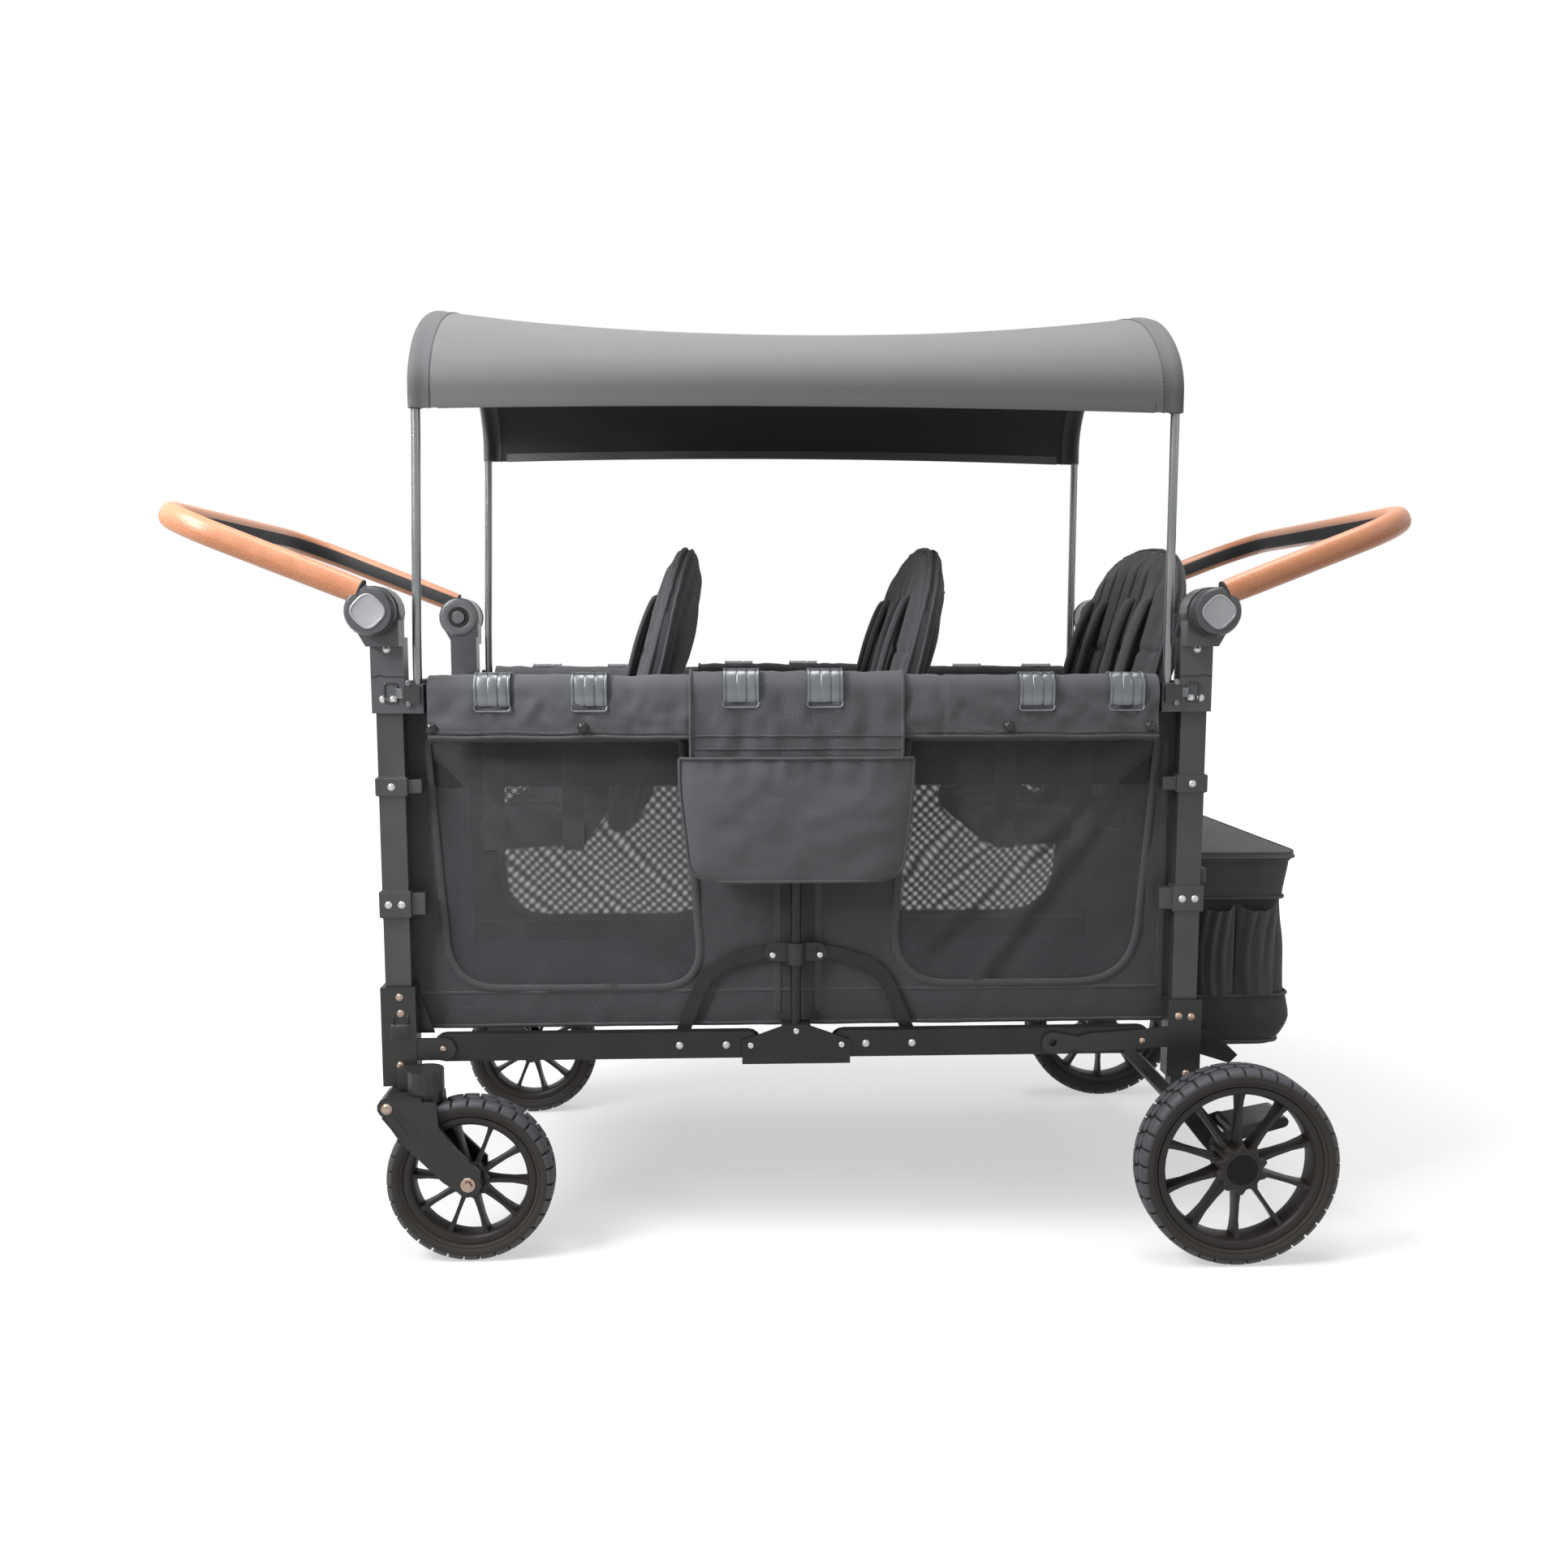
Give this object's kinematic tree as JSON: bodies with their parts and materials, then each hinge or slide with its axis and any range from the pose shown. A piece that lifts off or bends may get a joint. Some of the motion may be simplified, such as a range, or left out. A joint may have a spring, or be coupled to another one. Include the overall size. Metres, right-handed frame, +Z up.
{
  "type": "daycare stroller wagon",
  "caption": "Folding daycare wagon stroller with facing-forward bench rows, fabric tub, canopy on bows, tilting push handles, swivel front wheels, rear brake and storage bag.",
  "frame": {"origin": "on the floor, mid-way between the two handles and the two sides", "axes": "+X to the rear, the end with the storage bag and fixed wheels; +Y to the child's right as seated; +Z up"},
  "size_m": [1.7186, 0.74, 1.3393],
  "materials": {
    "tube_paint": "satin black powder coat",
    "handle_paint": "dark grey powder coat",
    "chassis_paint": "satin black powder coat",
    "nylon": "matt moulded nylon",
    "bow_steel": "satin grey lacquer",
    "tyre": "matt rubber",
    "grip_leather": "tan stitched imitation leather",
    "canopy_fabric": "stretched charcoal woven cloth",
    "tub_fabric": "charcoal woven cloth with mesh windows",
    "seat_fabric": "black padded quilted cloth"
  },
  "bodies": {
    "rear_frame": {"post_rear_left": "tube_paint", "post_rear_right": "tube_paint", "hub_casting_rear_left": "nylon", "hub_casting_rear_right": "nylon", "rear_chassis": "chassis_paint", "storage_bag": "tub_fabric", "tub": "tub_fabric", "seat_pan_row_1": "seat_fabric", "seat_pan_row_2": "seat_fabric", "seat_pan_row_3": "seat_fabric"},
    "front_frame": {"post_front_left": "tube_paint", "post_front_right": "tube_paint", "hub_casting_front_left": "nylon", "hub_casting_front_right": "nylon", "front_chassis": "chassis_paint"},
    "centre": {"centre_frame": "tube_paint"},
    "collars": {"collar_left": "nylon", "collar_right": "nylon"},
    "lower_rails_rear": {"lower_rail_rear_left": "tube_paint", "lower_rail_rear_right": "tube_paint"},
    "lower_rails_front": {"lower_rail_front_left": "tube_paint", "lower_rail_front_right": "tube_paint"},
    "upper_rails_rear": {"upper_rail_rear_left": "tube_paint", "upper_rail_rear_right": "tube_paint"},
    "upper_rails_front": {"upper_rail_front_left": "tube_paint", "upper_rail_front_right": "tube_paint"},
    "struts_rear": {"strut_rear_left": "tube_paint", "strut_rear_right": "tube_paint"},
    "struts_front": {"strut_front_left": "tube_paint", "strut_front_right": "tube_paint"},
    "rear_handle": {"rear_handle_frame": "handle_paint", "rear_handle_grip": "grip_leather"},
    "front_handle": {"front_handle_frame": "handle_paint", "front_handle_grip": "grip_leather"},
    "rear_button_left": {"handle_button_rear_left": "nylon"},
    "rear_button_right": {"handle_button_rear_right": "nylon"},
    "front_button_left": {"handle_button_front_left": "nylon"},
    "front_button_right": {"handle_button_front_right": "nylon"},
    "rear_bow": {"rear_canopy_bow": "bow_steel", "canopy_cloth": "canopy_fabric"},
    "front_bow": {"front_canopy_bow": "bow_steel"},
    "latch_rear_left": {"canopy_latch_rear_left": "nylon"},
    "latch_rear_right": {"canopy_latch_rear_right": "nylon"},
    "latch_front_left": {"canopy_latch_front_left": "nylon"},
    "latch_front_right": {"canopy_latch_front_right": "nylon"},
    "rear_wheel_left": {"rear_tyre_left": "tyre", "rear_rim_left": "nylon"},
    "rear_wheel_right": {"rear_tyre_right": "tyre", "rear_rim_right": "nylon"},
    "front_wheel_left": {"front_tyre_left": "tyre", "front_rim_left": "nylon"},
    "front_wheel_right": {"front_tyre_right": "tyre", "front_rim_right": "nylon"},
    "caster_left": {"caster_fork_left": "nylon"},
    "caster_right": {"caster_fork_right": "nylon"},
    "brake": {"brake_pedal": "nylon"},
    "seat_back_1": {"seat_back_row_1": "seat_fabric"},
    "seat_back_2": {"seat_back_row_2": "seat_fabric"},
    "seat_back_3": {"seat_back_row_3": "seat_fabric"},
    "lid": {"bag_lid": "tub_fabric"}
  },
  "joints": [
    {"name": "fold", "type": "hinge", "parent": "rear_frame", "child": "lower_rails_rear", "pos_m": [0.49, 0, 0.292], "axis": [0, 1, 0], "range_deg": [0, 75], "deforming": ["tub", "canopy_cloth", "seat_pan_row_1", "seat_pan_row_2", "seat_pan_row_3", "seat_back_row_1", "seat_back_row_2", "seat_back_row_3"]},
    {"name": "centre_pivot_rear", "type": "hinge", "parent": "lower_rails_rear", "child": "centre", "pos_m": [0.0676, 0, 0.292], "axis": [0, 1, 0], "range_deg": [-75, 0]},
    {"name": "centre_pivot_front", "type": "hinge", "parent": "centre", "child": "lower_rails_front", "pos_m": [-0.0676, 0, 0.292], "axis": [0, 1, 0], "range_deg": [-75, 0]},
    {"name": "front_pivot", "type": "hinge", "parent": "lower_rails_front", "child": "front_frame", "pos_m": [-0.49, 0, 0.292], "axis": [0, 1, 0], "range_deg": [0, 75]},
    {"name": "upper_pivot_rear", "type": "hinge", "parent": "rear_frame", "child": "upper_rails_rear", "pos_m": [0.49, 0, 0.785], "axis": [0, 1, 0], "range_deg": [0, 75]},
    {"name": "upper_pivot_front", "type": "hinge", "parent": "front_frame", "child": "upper_rails_front", "pos_m": [-0.49, 0, 0.785], "axis": [0, 1, 0], "range_deg": [-75, 0]},
    {"name": "collar_slide", "type": "slide", "parent": "centre", "child": "collars", "axis": [0, 0, 1], "range_m": [-0.0477, 0]},
    {"name": "strut_pivot_rear", "type": "hinge", "parent": "lower_rails_rear", "child": "struts_rear", "pos_m": [0.1655, 0, 0.292], "axis": [0, 1, 0], "range_deg": [-48.3, 0]},
    {"name": "strut_pivot_front", "type": "hinge", "parent": "lower_rails_front", "child": "struts_front", "pos_m": [-0.1655, 0, 0.292], "axis": [0, 1, 0], "range_deg": [0, 48.3]},
    {"name": "rear_handle_tilt", "type": "hinge", "parent": "rear_frame", "child": "rear_handle", "pos_m": [0.562, 0, 0.896], "axis": [0, 1, 0], "range_deg": [-60, 65]},
    {"name": "front_handle_tilt", "type": "hinge", "parent": "front_frame", "child": "front_handle", "pos_m": [-0.562, 0, 0.896], "axis": [0, -1, 0], "range_deg": [-60, 90]},
    {"name": "rear_button_left_press", "type": "slide", "parent": "rear_frame", "child": "rear_button_left", "axis": [0, -1, 0], "range_m": [0, 0.004], "stiffness_N_per_m": 600},
    {"name": "rear_button_right_press", "type": "slide", "parent": "rear_frame", "child": "rear_button_right", "axis": [0, 1, 0], "range_m": [0, 0.004], "stiffness_N_per_m": 600},
    {"name": "front_button_left_press", "type": "slide", "parent": "front_frame", "child": "front_button_left", "axis": [0, -1, 0], "range_m": [0, 0.004], "stiffness_N_per_m": 600},
    {"name": "front_button_right_press", "type": "slide", "parent": "front_frame", "child": "front_button_right", "axis": [0, 1, 0], "range_m": [0, 0.004], "stiffness_N_per_m": 600},
    {"name": "rear_bow_slide", "type": "slide", "parent": "rear_frame", "child": "rear_bow", "axis": [0, 0, 1], "range_m": [0, 0.03]},
    {"name": "front_bow_slide", "type": "slide", "parent": "front_frame", "child": "front_bow", "axis": [0, 0, 1], "range_m": [0, 0.03]},
    {"name": "latch_rear_left_turn", "type": "hinge", "parent": "rear_frame", "child": "latch_rear_left", "pos_m": [0.5075, -0.2786, 0.785], "axis": [0, 0, -1], "range_deg": [0, 80]},
    {"name": "latch_rear_right_turn", "type": "hinge", "parent": "rear_frame", "child": "latch_rear_right", "pos_m": [0.5075, 0.2786, 0.785], "axis": [0, 0, 1], "range_deg": [0, 80]},
    {"name": "latch_front_left_turn", "type": "hinge", "parent": "front_frame", "child": "latch_front_left", "pos_m": [-0.5075, -0.2786, 0.785], "axis": [0, 0, 1], "range_deg": [0, 80]},
    {"name": "latch_front_right_turn", "type": "hinge", "parent": "front_frame", "child": "latch_front_right", "pos_m": [-0.5075, 0.2786, 0.785], "axis": [0, 0, -1], "range_deg": [0, 80]},
    {"name": "rear_wheel_left_spin", "type": "hinge", "parent": "rear_frame", "child": "rear_wheel_left", "pos_m": [0.605, -0.345, 0.13933], "axis": [0, 1, 0], "continuous": true},
    {"name": "rear_wheel_right_spin", "type": "hinge", "parent": "rear_frame", "child": "rear_wheel_right", "pos_m": [0.605, 0.345, 0.13933], "axis": [0, 1, 0], "continuous": true},
    {"name": "caster_left_swivel", "type": "hinge", "parent": "front_frame", "child": "caster_left", "pos_m": [-0.513, -0.291, 0.24], "axis": [0, 0, 1], "continuous": true},
    {"name": "caster_right_swivel", "type": "hinge", "parent": "front_frame", "child": "caster_right", "pos_m": [-0.513, 0.291, 0.24], "axis": [0, 0, 1], "continuous": true},
    {"name": "front_wheel_left_spin", "type": "hinge", "parent": "caster_left", "child": "front_wheel_left", "pos_m": [-0.453, -0.291, 0.11544], "axis": [0, 1, 0], "continuous": true},
    {"name": "front_wheel_right_spin", "type": "hinge", "parent": "caster_right", "child": "front_wheel_right", "pos_m": [-0.453, 0.291, 0.11544], "axis": [0, 1, 0], "continuous": true},
    {"name": "brake_press", "type": "hinge", "parent": "rear_frame", "child": "brake", "pos_m": [0.636, -0.2335, 0.15], "axis": [0, 1, 0], "range_deg": [0, 20]},
    {"name": "seat_back_1_recline", "type": "hinge", "parent": "rear_frame", "child": "seat_back_1", "pos_m": [-0.25, 0, 0.6], "axis": [0, 1, 0], "range_deg": [-25, 12]},
    {"name": "seat_back_2_recline", "type": "hinge", "parent": "rear_frame", "child": "seat_back_2", "pos_m": [0.112, 0, 0.6], "axis": [0, 1, 0], "range_deg": [-25, 12]},
    {"name": "seat_back_3_recline", "type": "hinge", "parent": "rear_frame", "child": "seat_back_3", "pos_m": [0.466, 0, 0.6], "axis": [0, 1, 0], "range_deg": [-25, 0]},
    {"name": "bag_lid_lift", "type": "hinge", "parent": "rear_frame", "child": "lid", "pos_m": [0.572, 0, 0.5403], "axis": [0, -1, 0], "range_deg": [0, 90]}
  ],
  "couplings": [
    {"joint": "centre_pivot_rear", "follows": "fold", "ratio": -1},
    {"joint": "centre_pivot_front", "follows": "fold", "ratio": -1},
    {"joint": "front_pivot", "follows": "fold", "ratio": 1},
    {"joint": "upper_pivot_rear", "follows": "fold", "ratio": 1},
    {"joint": "upper_pivot_front", "follows": "fold", "ratio": -1},
    {"joint": "collar_slide", "follows": "fold", "m_per_rad": -0.0364},
    {"joint": "strut_pivot_rear", "follows": "fold", "ratio": -0.643},
    {"joint": "strut_pivot_front", "follows": "fold", "ratio": 0.643},
    {"joint": "front_bow_slide", "follows": "rear_bow_slide", "ratio": 1}
  ]
}
